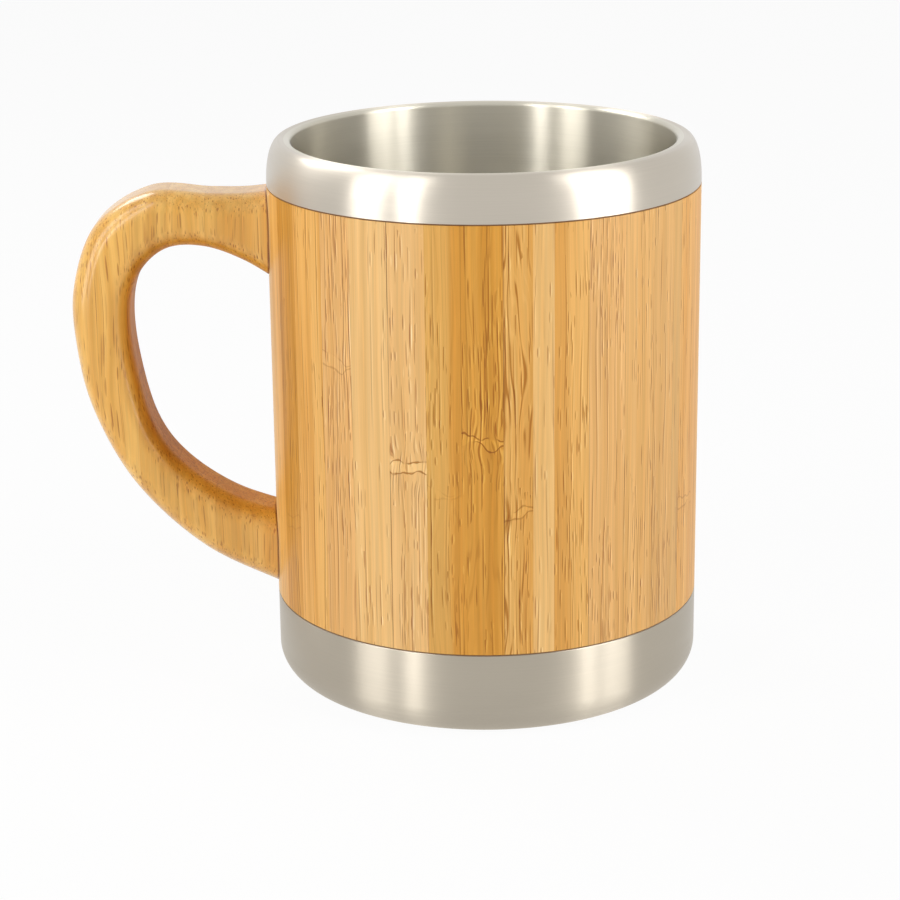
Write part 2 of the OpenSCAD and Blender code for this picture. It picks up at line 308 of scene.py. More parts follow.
# Each stave's width in degrees, wood, tint, lean of the deep tone to its left, blush, long streaks, short dashes,
# loops, and the darkness of the joint at its left. The last two are its knuckle's height in millimetres and strength.
STAVES = [
    (12, "honey", 0.96, 0.0, 0.1, 0.4, 0.1, 0, 0.15, 0, 0), (8, "pale", 0.90, -0.1, 0.1, 0.3, 0.1, 0, 0.15, 0, 0),
    (8, "honey", 1.00, -0.2, 0.0, 0.5, 0.2, 0, 0.1, 0, 0), (10, "amber", 0.90, 0.2, 0.2, 0.6, 0.4, 0, 0.2, 37, 0.2),
    (12, "honey", 1.03, 0.0, 0.0, 0.8, 0.4, 0, 0.15, 0, 0), (10, "tan", 1.08, 0.1, 0.5, 0.7, 0.9, 0, 0.25, 73, 0.4),
    (11, "pale", 1.01, 0.3, 0.1, 0.5, 0.3, 0, 0.4, 0, 0), (10, "pale", 1.01, 0.0, 0.4, 0.6, 0.7, 0, 1.0, 54.5, 1.0),
    (9, "fading", 1.10, -0.9, 0.0, 0.7, 0.7, 0.2, 0.1, 50, 0.2),
    (10.5, "amber", 1.02, 0.0, 0.0, 0.9, 0.9, 0.3, 0.4, 60.5, 1.0),
    (7.5, "honey", 1.01, -0.2, 0.0, 0.6, 0.6, 1.0, 0.9, 46, 0.6),
    (5.5, "pale", 1.00, 0.0, 0.0, 0.6, 0.2, 0.2, 0.1, 0, 0), (9.5, "honey", 1.03, 0.9, 0.1, 0.6, 0.5, 0, 0.2, 0, 0),
    (11, "tan", 1.06, 0.0, 0.4, 0.7, 0.9, 0, 0.5, 0, 0), (9.5, "tan", 1.04, 0.1, 0.2, 0.6, 0.5, 0, 0.4, 0, 0),
    (10, "tan", 0.96, -0.2, 0.3, 0.8, 0.7, 0, 0.2, 0, 0), (4, "tan", 0.90, 0.0, 0.0, 0.5, 0.2, 0, 0.2, 0, 0),
    (10.5, "honey", 1.00, 0.0, 0.3, 0.6, 0.6, 0, 0.2, 40, 0.4), (9, "honey", 0.98, 0.1, 0.3, 0.6, 0.4, 0, 0.2, 0, 0),
    (10, "pale", 0.94, 0.0, 0.2, 0.5, 0.3, 0, 0.4, 0, 0), (11, "amber", 1.04, 0.3, 0.1, 0.8, 0.6, 0.2, 0.4, 66, 0.8),
    (10, "tan", 1.02, 0.0, 0.4, 0.6, 0.8, 0, 0.4, 0, 0), (9.5, "honey", 1.00, -0.3, 0.0, 0.7, 0.3, 0, 0.2, 0, 0),
    (12, "pale", 1.00, 0.1, 0.2, 0.5, 0.5, 0, 0.7, 48, 0.9), (10, "honey", 1.02, 0.2, 0.1, 0.6, 0.2, 0, 0.2, 0, 0),
    (10, "amber", 1.04, -0.2, 0.0, 0.8, 0.6, 0.5, 0.4, 84, 0.7), (11.5, "pale", 0.99, 0.0, 0.3, 0.4, 0.5, 0, 0.3, 0, 0),
    (12.5, "tan", 1.04, 0.3, 0.4, 0.7, 0.7, 0, 0.5, 33, 0.8), (10, "honey", 1.00, 0.0, 0.1, 0.6, 0.3, 0, 0.2, 0, 0),
    (10.5, "amber", 1.05, 0.2, 0.1, 0.7, 0.5, 0, 0.3, 0, 0), (11.5, "pale", 1.00, 0.0, 0.2, 0.5, 0.3, 0, 0.6, 70, 0.9),
    (11.5, "honey", 0.99, -0.3, 0.0, 0.7, 0.5, 0.3, 0.2, 0, 0), (9.5, "tan", 1.02, 0.0, 0.5, 0.6, 0.9, 0, 0.4, 0, 0),
    (12, "honey", 1.01, 0.3, 0.1, 0.5, 0.3, 0, 0.2, 57, 0.6), (10.5, "amber", 1.04, 0.0, 0.2, 0.8, 0.5, 0, 0.3, 0, 0),
    (11, "pale", 0.98, 0.1, 0.1, 0.4, 0.2, 0, 0.2, 0, 0),
]
SLEEVE_INSIDE = 0.0392
STAVE_LOW = LOWER_JOINT + SEAL / 2
STAVE_HIGH = UPPER_JOINT - SEAL / 2
LOWER_SPIGOT_LENGTH = 0.008
UPPER_SPIGOT_LENGTH = 0.004
SPIGOT_LOW = STAVE_LOW - LOWER_SPIGOT_LENGTH
SPIGOT_HIGH = STAVE_HIGH + UPPER_SPIGOT_LENGTH
STAVE_SECTION = np.array([
    [SLEEVE_INSIDE, SPIGOT_LOW], [LOWER_SPIGOT, SPIGOT_LOW], [LOWER_SPIGOT, STAVE_LOW], [MUG_RADIUS, STAVE_LOW],
    [MUG_RADIUS, STAVE_HIGH], [UPPER_SPIGOT, STAVE_HIGH], [UPPER_SPIGOT, SPIGOT_HIGH], [SLEEVE_INSIDE, SPIGOT_HIGH]])
STAVE_STEPS = 10

ORANGE_INK = (0.60, 0.45, 0.22)
PURPLE_INK = (0.62, 0.47, 0.36)
# Each wood's slot, name, pale tone, deep tone and ink
WOODS = {
    "pale": ("bamboo_pale", "pale_bamboo", (0.88, 0.545, 0.205), (0.82, 0.475, 0.155), PURPLE_INK),
    "honey": ("bamboo_honey", "honey_bamboo", (0.80, 0.44, 0.12), (0.72, 0.355, 0.075), ORANGE_INK),
    "amber": ("bamboo_amber", "amber_bamboo", (0.71, 0.34, 0.053), (0.62, 0.272, 0.031), ORANGE_INK),
    "fading": ("bamboo_amber", "fading_bamboo", (0.68, 0.365, 0.085), (0.62, 0.28, 0.038), ORANGE_INK),
    "tan": ("bamboo_tan", "tan_bamboo", (0.79, 0.46, 0.157), (0.72, 0.395, 0.117), PURPLE_INK),
}
# What is laid over a wood's tone by multiplying: the blush, the painted highlight on the lit edge of each fibre,
# the pale edges of loops, the knuckle's lens and its lines, and the glue
BLUSH = (0.97, 0.92, 0.98)
FIBRE_HIGHLIGHT, LOOP_EDGE = (1.14, 1.30, 1.6), (1.08, 1.14, 1.25)
KNUCKLE_LENS, KNUCKLE_LINE = (1.08, 1.13, 1.16), (0.55, 0.39, 0.20)
STAVE_GLUE = (0.40, 0.26, 0.14)
# The sleeve's fibres: the size of a cell across and along the stave, and the half width, in millimetres
LONG_FIBRES, SHORT_FIBRES, DASHES = ((1.25, 46, 1), 0.14), ((0.9, 14, 1), 0.14), ((0.8, 6, 1), 0.15)
# Half a fibre's length, at least and at most, as a share of its cell's
SHORTEST, LONGEST = 0.16, 0.5
# How far apart two neighbouring staves lie in the noise
SEED_STEP = 7.3
# The patterns on bamboo are in millimetres, and this many make a metre
MM = 1000


def keep(piece, name, values):
    """The same vector at every point of a piece, under a name that its material reads."""
    layer = piece.data.attributes.new(name, "FLOAT_VECTOR", "POINT")
    layer.data.foreach_set("vector", np.tile(values, len(piece.data.vertices)).astype(np.float32))


def stave(name, start, width):
    """One stave: the point (r, z) of its section at angle a goes to (r cos a, r sin a, z), and the two edges are the
    section itself. The normals are the section's own, turned to the angle, so the glued tube looks turned in one
    piece. The UV map has the distance round the sleeve from the stave's middle and the height."""
    k, n = len(STAVE_SECTION), STAVE_STEPS
    a = start + width * np.linspace(0, 1, n + 1)
    r, z = STAVE_SECTION.T
    points = np.stack([np.outer(np.cos(a), r), np.outer(np.sin(a), r), np.outer(np.ones(n + 1), z)], -1).reshape(-1, 3)
    i, j = (x.ravel() for x in np.meshgrid(np.arange(n), np.arange(k), indexing="ij"))
    after = (j + 1) % k
    walls = np.stack([i * k + j, (i + 1) * k + j, (i + 1) * k + after, i * k + after], -1)
    edge = np.roll(STAVE_SECTION, -1, axis=0) - STAVE_SECTION
    out = np.column_stack([edge[:, 1], -edge[:, 0]]) / np.linalg.norm(edge, axis=1)[:, None]
    turn = np.stack([a[i], a[i + 1], a[i + 1], a[i]], -1)
    wall_uv = np.stack([MUG_RADIUS * (turn - start - width / 2),
                        np.stack([z[j], z[j], z[after], z[after]], -1)], -1)
    wall_normals = np.stack([out[j, :1] * np.cos(turn), out[j, :1] * np.sin(turn),
                             out[j, 1:] * np.ones(4)], -1)
    blocks, uvs, normals = [walls], [wall_uv], [wall_normals]
    for end, side in ((0, -1), (n, 1)):
        order = np.arange(k)[::-side]
        blocks.append((end * k + order)[None])
        uvs.append(np.column_stack([np.full(k, MUG_RADIUS * side * width / 2), z[order]])[None])
        normals.append(np.tile([-side * np.sin(a[end]), side * np.cos(a[end]), 0], (1, k, 1)))
    return skin(name, points, blocks, uvs, "grain", normals)


def recall(tree, name):
    """The three numbers that `keep` gave to the piece under a name."""
    return put(tree, "SeparateXYZ", {0: put(tree, "Attribute", attribute_name=name).outputs["Vector"]}).outputs


def tinted(tree, colour, mask, tint):
    """A colour that is multiplied by a tint where the mask is 1."""
    return put(tree, "Mix", {"Factor": mask, "A": colour, "B": (*tint, 1)}, data_type="RGBA",
               blend_type="MULTIPLY").outputs["Result"]


def fibres(tree, place, spacing, along, share, half_width):
    """Masks of the dark fibres and of a painted highlight beside each, as on the lit edge of a groove, along Y on a
    flat map or along Z in the solid. The place is cut into Voronoi cells as large as the spacing, and each has one
    fibre through its own point. The fibre's half width shrinks as 1 - t squared, where t goes from 0 at the point to 1
    at an end, and the painted highlight lies two half widths to its right. The cell's own random numbers give the
    length, the strength, and whether there is a fibre at all: the share is that of the cells with one."""
    on_map = along == "Y"
    scaled = put(tree, "VectorMath", {0: place, 1: tuple(1 / gap for gap in spacing)}, operation="MULTIPLY").outputs[0]
    cell = put(tree, "TexVoronoi", {"Vector": scaled, "Scale": 1.0}, voronoi_dimensions="2D" if on_map else "3D")
    chance = put(tree, "SeparateXYZ", {0: cell.outputs["Color"]}).outputs
    off = put(tree, "VectorMath", {0: scaled, 1: cell.outputs["Position"]}, operation="SUBTRACT").outputs[0]
    off = put(tree, "SeparateXYZ", {0: put(tree, "VectorMath", {0: off, 1: spacing}, operation="MULTIPLY").outputs[0]})
    cell_length = spacing["XYZ".index(along)]
    length = ramp(tree, chance["X"], 0.0, 1.0, SHORTEST * cell_length, LONGEST * cell_length)
    t = calc(tree, "DIVIDE", off.outputs[along], length)
    width = calc(tree, "MULTIPLY", calc(tree, "MAXIMUM", calc(tree, "SUBTRACT", 1.0, calc(tree, "MULTIPLY", t, t)),
                                        0.001), half_width)
    there = calc(tree, "GREATER_THAN", chance["Y"], calc(tree, "SUBTRACT", 1.0, share))
    there = calc(tree, "MULTIPLY", there, calc(tree, "ADD", 0.45, calc(tree, "MULTIPLY", chance["Z"], 0.55)))
    masks = []
    for aside in (0.0, 2.0 * half_width):
        x = calc(tree, "SUBTRACT", off.outputs["X"], aside)
        distance = calc(tree, "ABSOLUTE", x) if on_map else calc(tree, "SQRT", calc(
            tree, "ADD", calc(tree, "MULTIPLY", x, x), calc(tree, "POWER", off.outputs["Y"], 2.0)))
        masks.append(calc(tree, "MULTIPLY", ramp(tree, calc(tree, "DIVIDE", distance, width), 1.25, 0.45), there))
    return masks


def stave_bamboo(name, pale, deep, ink):
    """Lacquered bamboo cut along the fibres, on the stave's own map in millimetres. Broad bands of two tones run up
    the stave, under long fibres, and short ones that crowd in patches. All of them lie on a distance across that
    wanders with height, and spreads at the knuckle. Loops are the contour lines of a phase that grows across the
    stave and bends with height. The knuckle is a pale lens between two broken lines."""
    material, tree, wood = paint(name)
    cut, tone, fibre, joint = (recall(tree, part) for part in ("cut", "tone", "fibre", "joint"))
    seed, half, knuckle = (cut[k] for k in "XYZ")
    tint, lean, blush = (tone[k] for k in "XYZ")
    streaks, dashes, loops = (fibre[k] for k in "XYZ")
    seam, strength = joint["X"], joint["Y"]
    spot = put(tree, "SeparateXYZ", {0: put(tree, "UVMap", uv_map="grain").outputs[0]})
    u, v = (calc(tree, "MULTIPLY", spot.outputs[k], MM) for k in "XY")
    straight = put(tree, "CombineXYZ", {"X": u, "Y": v, "Z": seed}).outputs[0]

    # The distance across, as the fibres feel it. It wanders over 1.9 mm, and within 9 mm of a knuckle over 3.6 mm more
    above = calc(tree, "SUBTRACT", v, knuckle)
    at_knuckle = calc(tree, "MULTIPLY", ramp(tree, calc(tree, "ABSOLUTE", above), 9.0, 0.0), strength)
    wander = calc(tree, "SUBTRACT", speckle(tree, straight, (0.13, 0.022, 1)), 0.5)
    spreading = calc(tree, "SUBTRACT", speckle(tree, straight, (0.40, 0.08, 1), 5), 0.5)
    felt = calc(tree, "ADD", u, calc(tree, "MULTIPLY", wander, 1.9))
    felt = calc(tree, "ADD", felt, calc(tree, "MULTIPLY", calc(tree, "MULTIPLY", spreading, at_knuckle), 3.6))
    place = put(tree, "CombineXYZ", {"X": felt, "Y": v, "Z": seed}).outputs[0]

    # Broad bands, whose deep tone gains to the left by the stave's lean, and the finest fibres
    bands = calc(tree, "ADD", speckle(tree, place, (0.55, 0.010, 1), 80), calc(tree, "MULTIPLY", lean, calc(
        tree, "DIVIDE", u, calc(tree, "MULTIPLY", half, -2.4))))
    colour = mixed(tree, ramp(tree, bands, 0.32, 0.68), pale, deep)
    colour = tinted(tree, colour, blush, BLUSH)
    hairs = speckle(tree, place, (6.0, 0.07, 1), 60, 2.0)
    threads = speckle(tree, place, (1.9, 0.02, 1), 30)
    shade = calc(tree, "MULTIPLY", ramp(tree, hairs, 0.3, 0.7, 0.96, 1.04), ramp(tree, threads, 0.3, 0.7, 0.94, 1.05))
    colour = shaded(tree, colour, calc(tree, "MULTIPLY", shade, tint))

    # Long fibres, and short ones in patches and at the knuckle, each with a painted highlight on its lit edge. The seed
    # moves each stave to other cells
    patch = ramp(tree, speckle(tree, straight, (0.16, 0.025, 1), 50), 0.42, 0.58, 0.1, 1.0)
    crowd = calc(tree, "MINIMUM", calc(tree, "ADD", calc(tree, "MULTIPLY", dashes, patch), at_knuckle), 0.9)
    relief = calc(tree, "MULTIPLY", hairs, 0.5)
    own = put(tree, "CombineXYZ", {"X": calc(tree, "ADD", felt, calc(tree, "MULTIPLY", seed, 50)), "Y": v}).outputs[0]
    for (spacing, half_width), share in ((LONG_FIBRES, streaks), (SHORT_FIBRES, crowd), (DASHES, crowd)):
        dark, light = fibres(tree, own, spacing, "Y", share, half_width)
        colour = tinted(tree, tinted(tree, colour, light, FIBRE_HIGHLIGHT), dark, ink)
        relief = calc(tree, "SUBTRACT", relief, dark)

    # Loops: dark where the phase is halfway between whole numbers, with a pale edge a quarter away from there
    phase = calc(tree, "ADD", calc(tree, "MULTIPLY", felt, 0.7),
                 calc(tree, "MULTIPLY", speckle(tree, place, (0.34, 0.036, 1), 12), 5.0))
    from_line = calc(tree, "ABSOLUTE", calc(tree, "SUBTRACT", calc(tree, "FRACT", phase), 0.5))
    contour = calc(tree, "MULTIPLY", ramp(tree, from_line, 0.16, 0.05), calc(tree, "MULTIPLY", loops, ramp(
        tree, speckle(tree, place, (0.7, 0.05, 1), 25), 0.44, 0.56)))
    colour = tinted(tree, colour, contour, ink)
    edging = calc(tree, "ABSOLUTE", calc(tree, "SUBTRACT", from_line, 0.25))
    colour = tinted(tree, colour, calc(tree, "MULTIPLY", ramp(tree, edging, 0.1, 0.02), calc(
        tree, "MULTIPLY", loops, 0.6)), LOOP_EDGE)

    # At the knuckle a pale lens between two lines, which have gaps and run thick and thin
    lift = calc(tree, "MULTIPLY", calc(tree, "SUBTRACT", speckle(tree, straight, (0.16, 0, 1), 90), 0.5), 4.5)
    height = calc(tree, "SUBTRACT", above, lift)
    opening = ramp(tree, speckle(tree, straight, (0.24, 0, 1), 97), 0.36, 0.60, 0.25, 1.35)
    inside = ramp(tree, calc(tree, "DIVIDE", calc(tree, "ABSOLUTE", height), opening), 1.0, 0.7)
    colour = tinted(tree, colour, calc(tree, "MULTIPLY", inside, strength), KNUCKLE_LENS)
    for side, shift in ((-1, 101), (1, 104)):
        gaps = ramp(tree, speckle(tree, straight, (0.30, 0, 1), shift), 0.40, 0.50)
        width = ramp(tree, speckle(tree, straight, (0.9, 0, 1), shift), 0.35, 0.65, 0.14, 0.36)
        distance = calc(tree, "ABSOLUTE", calc(tree, "SUBTRACT", height, calc(tree, "MULTIPLY", opening, side)))
        line = calc(tree, "MULTIPLY", ramp(tree, calc(tree, "DIVIDE", distance, width), 1.0, 0.3), calc(
            tree, "MULTIPLY", gaps, strength))
        colour = tinted(tree, colour, line, KNUCKLE_LINE)
        relief = calc(tree, "SUBTRACT", relief, line)

    # The glued joint at the stave's left, which fades in and out with height
    edge = calc(tree, "ADD", u, half)
    broken = ramp(tree, speckle(tree, straight, (0, 0.06, 1), 70), 0.35, 0.6, 0.25, 1.0)
    glue = calc(tree, "MULTIPLY", ramp(tree, edge, 0.24, 0.10), calc(tree, "MULTIPLY", seam, broken))
    colour = tinted(tree, colour, glue, STAVE_GLUE)

    tree.links.new(colour, wood.inputs["Base Color"])
    tree.links.new(ramp(tree, hairs, 0.2, 0.8, 0.42, 0.54), wood.inputs["Roughness"])
    wood.inputs["Specular IOR Level"].default_value = 0.3
    wood.inputs["Coat Weight"].default_value = 0.1
    wood.inputs["Coat Roughness"].default_value = 0.25
    bump = put(tree, "Bump", {"Height": relief, "Strength": 0.3, "Distance": 0.00003})
    tree.links.new(bump.outputs[0], wood.inputs["Normal"])
    return material


stave_woods = {wood: stave_bamboo(*row[1:]) for wood, row in WOODS.items()}
start = np.radians(180 - STAVES[0][0] / 2)
for i, (width, wood, tint, lean, blush, streaks, dashes, loops, seam, knuckle, strength) in enumerate(STAVES):
    width = np.radians(width)
    piece = stave(f"bamboo_stave_{i + 1:02d}", start, width)
    keep(piece, "cut", (SEED_STEP * i, MM * MUG_RADIUS * width / 2, knuckle))
    keep(piece, "tone", (tint, lean, blush))
    keep(piece, "fibre", (streaks, dashes, loops))
    keep(piece, "joint", (seam, strength, 0))
    piece.data.materials.append(stave_woods[wood])
    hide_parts(f"stave_{i + 1:02d}")
    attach(piece, "root")
    start += width


# ---- Handle
# Six upright strips of bamboo glued face to face into a board. The grip is sawn from it, rounded over, coped to the
# sleeve and glued and screwed on. The fibres run upwards through the whole of it, and end in pores where it bends.

REACH = 0.0395
HANDLE_LOW = 0.0185
HANDLE_HEIGHT = 0.0820
HALF_DEPTH = 0.00775
EDGE_RADIUS = 0.0046
COPE_RADIUS = 0.04305
# The first glued joint's distance from the sleeve, and the distance from one joint to the next
FIRST_STRIP = 0.0045
STRIP = 0.0074
# A distance from the axis that is beyond the whole grip
PAST_THE_GRIP = 0.09
# The middle of the opening for the fingers
OPENING_MIDDLE = (-0.057, 0.0, 0.063)
# The stations of the grip, outer and inner point: outwards as a share of the reach, upwards of the height
STATIONS = np.array([
    [[-0.08, 1.005], [-0.08, 0.77]], [[0.10, 0.995], [0.12, 0.83]], [[0.29, 0.995], [0.32, 0.865]],
    [[0.59, 1.00], [0.51, 0.86]], [[0.86, 0.92], [0.65, 0.80]], [[0.984, 0.77], [0.705, 0.71]],
    [[0.987, 0.62], [0.69, 0.58]], [[0.912, 0.45], [0.61, 0.42]], [[0.71, 0.262], [0.465, 0.317]],
    [[0.365, 0.099], [0.22, 0.233]], [[-0.08, -0.01], [-0.08, 0.18]],
])
CORNER_STEPS = 12
RINGS = 160
# How many places along the grip are tried for the point at which it leaves the sleeve
TRIALS = 3001
# The rings that close a coped end, as shares of its size
END_RINGS = (0.75, 0.5, 0.25)

# Each strip's seed, tint and the darkness of its pores
STRIPS = [(3, 0.97, 0.9), (11, 1.00, 0.7), (23, 1.03, 1.0), (31, 0.99, 0.8), (43, 1.02, 0.7), (59, 1.05, 0.7)]
# Each wood's slot with its name, pale tone and deep tone. The strips take them in turn
STRIP_WOODS = {
    "handle_bamboo": ("handle_bamboo_wood", (0.86, 0.50, 0.115), (0.76, 0.385, 0.06)),
    "handle_bamboo_deep": ("handle_bamboo_deep_wood", (0.82, 0.46, 0.095), (0.71, 0.35, 0.05)),
}
# The bundles' dark tone, and the painted highlight on their lit edges
BUNDLE, BUNDLE_HIGHLIGHT = (0.57, 0.40, 0.21), (1.07, 1.12, 1.22)
BOARD_GLUE, ROOT_GLUE = (0.66, 0.50, 0.34), (0.45, 0.32, 0.20)
# The painted shade on the side of the grip that faces the opening, with the sleeve's orange light cast back
INNER_SIDE_SHADE = (0.82, 0.69, 0.32)
# The handle's bundles of fibres: the size of a cell in X, Y and Z, and the half width, in millimetres
LONG_BUNDLES, SHORT_BUNDLES, FINE_BUNDLES = ((0.8, 0.8, 30), 0.14), ((0.55, 0.55, 11), 0.19), ((0.5, 0.5, 40), 0.10)


def grip_points(t):
    """The ring of the grip at each t from 0 to the last station. Between the stations b and c, with a before and d
    after them, the outer and the inner point each follow a cubic whose slopes are half of c - a and half of d - b.
    The ring is a rectangle between the two points. Each point of its rounded corners is the corner's centre plus
    the radius r at an angle, where r is at most 0.95 of half the grip's thickness."""
    stations = np.stack([-MUG_RADIUS - REACH * STATIONS[..., 0], HANDLE_LOW + HANDLE_HEIGHT * STATIONS[..., 1]], -1)
    knots = np.concatenate([2 * stations[:1] - stations[1:2], stations, 2 * stations[-1:] - stations[-2:-1]])
    k = np.clip(t.astype(int), 0, len(stations) - 2)
    f = (t - k)[:, None, None]
    a, b, c, d = (knots[k + step] for step in range(4))
    both = (2 * b + (c - a) * f + (2 * a - 5 * b + 4 * c - d) * f ** 2 + (3 * b - a - 3 * c + d) * f ** 3) / 2
    middle, half = both.mean(1), np.linalg.norm(both[:, 0] - both[:, 1], axis=1) / 2
    across = (both[:, 0] - both[:, 1]) / (2 * half[:, None])
    r = np.minimum(EDGE_RADIUS, 0.95 * half)[:, None]
    angle = np.radians(np.concatenate([90 * q + np.linspace(0, 90, CORNER_STEPS + 1) for q in range(4)]))
    side = np.repeat([[1, 1], [-1, 1], [-1, -1], [1, -1]], CORNER_STEPS + 1, axis=0)
    over = side[:, 0] * (half[:, None] - r) + r * np.cos(angle)
    deep = side[:, 1] * (HALF_DEPTH - r) + r * np.sin(angle)
    return np.stack([middle[:, :1] + over * across[:, :1], deep, middle[:, 1:] + over * across[:, 1:]], -1)


def grip_mesh():
    """The whole grip. Each line along it starts and ends where it leaves the sleeve's cylinder, with equal steps of
    t between the two. Both ends are closed on that cylinder by rings that shrink to their middle. The attribute
    `round` has the normals of the sides, from the cross product of the differences along and round the grip."""
    fine = np.linspace(0, len(STATIONS) - 1, TRIALS)
    trial = grip_points(fine)
    outside = np.hypot(trial[..., 0], trial[..., 1]) > COPE_RADIUS
    first = fine[outside.argmax(0)]
    final = fine[len(fine) - 1 - outside[::-1].argmax(0)]
    share = np.linspace(0, 1, RINGS)[:, None]
    at = first + (final - first) * share
    n = trial.shape[1]
    column = np.broadcast_to(np.arange(n), at.shape)
    rings = grip_points(at.ravel()).reshape(*at.shape, n, 3)[np.arange(RINGS)[:, None], column, column]
    along = np.gradient(rings, axis=0)
    around = np.roll(rings, -1, 1) - np.roll(rings, 1, 1)
    normals = np.cross(along, around)
    normals /= np.linalg.norm(normals, axis=-1, keepdims=True)
    if (normals[RINGS // 2] * (rings[RINGS // 2] - rings[RINGS // 2].mean(0))).sum() < 0:
        normals = -normals
    ends = []
    for end in (rings[0], rings[-1]):
        middle = end.mean(0)
        for shrink in END_RINGS:
            ring = middle + (end - middle) * shrink
            ring[:, 0] = -np.sqrt(COPE_RADIUS ** 2 - ring[:, 1] ** 2)
            ends.append(ring)
        ends.append(np.array([[-COPE_RADIUS, 0, middle[2]]]))
    points = np.concatenate([rings.reshape(-1, 3), *ends])
    i = np.arange(n)
    after = (i + 1) % n

    def between(low, high):
        """Quads between the rings that start at two places in the points."""
        return np.stack([low + i, low + after, high + after, high + i], -1)

    sides = [between(j * n, (j + 1) * n) for j in range(RINGS - 1)]
    faces = np.concatenate(sides).tolist()
    side_faces = len(faces)
    ends_at, end_size = RINGS * n, len(END_RINGS) * n
    for edge, start, flip in ((0, ends_at, 1), ((RINGS - 1) * n, ends_at + end_size + 1, -1)):
        rows = [edge, *range(start, start + end_size, n)]
        quads = [between(low, high) for low, high in zip(rows[:-1], rows[1:])]
        fan = np.stack([rows[-1] + i, rows[-1] + after, np.full(n, start + end_size)], -1)
        for block in (*quads, fan):
            faces += block[:, ::-flip].tolist()
    mesh = bpy.data.meshes.new("grip")
    mesh.from_pydata(points.tolist(), [], faces)
    mesh.polygons.foreach_set("use_smooth", np.arange(len(faces)) < side_faces)
    layer = mesh.attributes.new("round", "FLOAT_VECTOR", "POINT")
    spread = np.zeros_like(points)
    spread[:ends_at] = normals.reshape(-1, 3)
    layer.data.foreach_set("vector", spread.ravel().astype(np.float32))
    return mesh


def read_out(items, name, width, kind):
    """One property of all the items of a mesh, as an array with a row of the width for each."""
    values = np.zeros(width * len(items), kind)
    items.foreach_get(name, values)
    return values.reshape(-1, width)


def sawn_strip(name, grip, low, high):
    """The part of the grip between the two planes where X is low and high. The cuts are filled flat, and the sides
    keep the normals of the whole grip, so the glued joints are flush."""
    work = bmesh.new()
    work.from_mesh(grip)
    bmesh.ops.recalc_face_normals(work, faces=work.faces)
    for x, side in ((low, -1), (high, 1)):
        cut = bmesh.ops.bisect_plane(work, geom=[*work.verts, *work.edges, *work.faces], dist=1e-8,
                                     plane_co=(x, 0, 0), plane_no=(side, 0, 0), clear_outer=True)
        rim = [e for e in cut["geom_cut"] if isinstance(e, bmesh.types.BMEdge)]
        for edge in rim:
            edge.smooth = False
        for face in bmesh.ops.holes_fill(work, edges=rim, sides=0)["faces"]:
            face.smooth = False
    bmesh.ops.recalc_face_normals(work, faces=work.faces)
    mesh = bpy.data.meshes.new(name)
    work.to_mesh(mesh)
    work.free()
    corners = read_out(mesh.polygons, "loop_total", 1, int)[:, 0]
    on_side = np.repeat(read_out(mesh.polygons, "use_smooth", 1, bool), corners, axis=0)
    face_normal = np.repeat(read_out(mesh.polygons, "normal", 3, np.float32), corners, axis=0)
    vertex = read_out(mesh.loops, "vertex_index", 1, int)[:, 0]
    side_normal = read_out(mesh.attributes["round"].data, "vector", 3, np.float32)[vertex]
    normals = np.where(on_side, side_normal, face_normal)
    mesh.shade_smooth()
    mesh.normals_split_custom_set(normals / np.linalg.norm(normals, axis=1, keepdims=True))
    piece = bpy.data.objects.new(name, mesh)
    bpy.context.scene.collection.objects.link(piece)
    return piece


